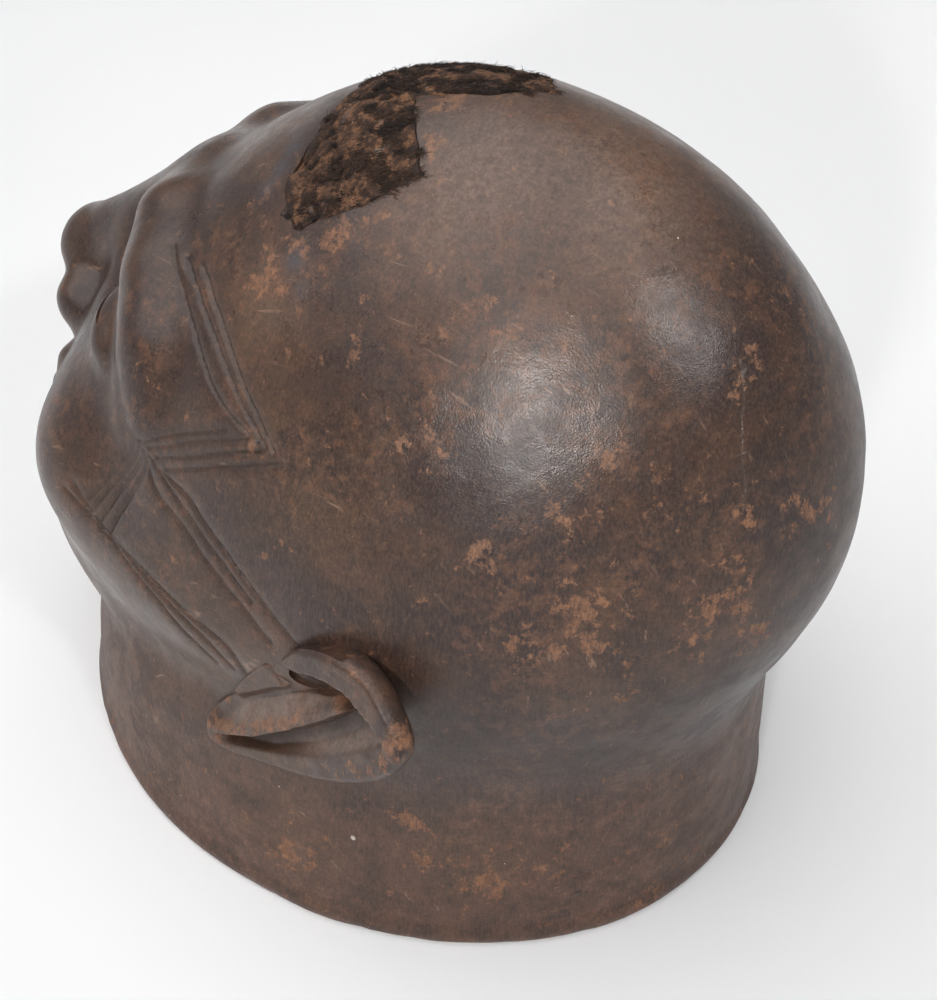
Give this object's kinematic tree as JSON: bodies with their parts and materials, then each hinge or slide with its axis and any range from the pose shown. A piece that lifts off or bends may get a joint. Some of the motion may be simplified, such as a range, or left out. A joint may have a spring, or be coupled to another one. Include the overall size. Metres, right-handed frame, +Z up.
{
  "type": "carved wooden helmet mask",
  "caption": "Carved hollow wooden helmet mask with a raised calm face, standing ears, neck collar and hair set in wax on the crown.",
  "frame": {"origin": "centre of the overall box, on the plane of the rim that the mask stands on", "axes": "+Z up from the rim to the crown; the face looks towards -Y and is turned up by 30 degrees; the mask's own left side is +X"},
  "size_m": [0.2216, 0.2858, 0.2554],
  "materials": {
    "patinated_wood": "dark brown patina with a soft sheen, worn to orange brown on edges",
    "hair_and_wax": "short dark clumped hair over a rough tan wax bed"
  },
  "bodies": {
    "root": {"carved_mask": "patinated_wood", "hair_inset": "hair_and_wax"}
  },
  "joints": []
}
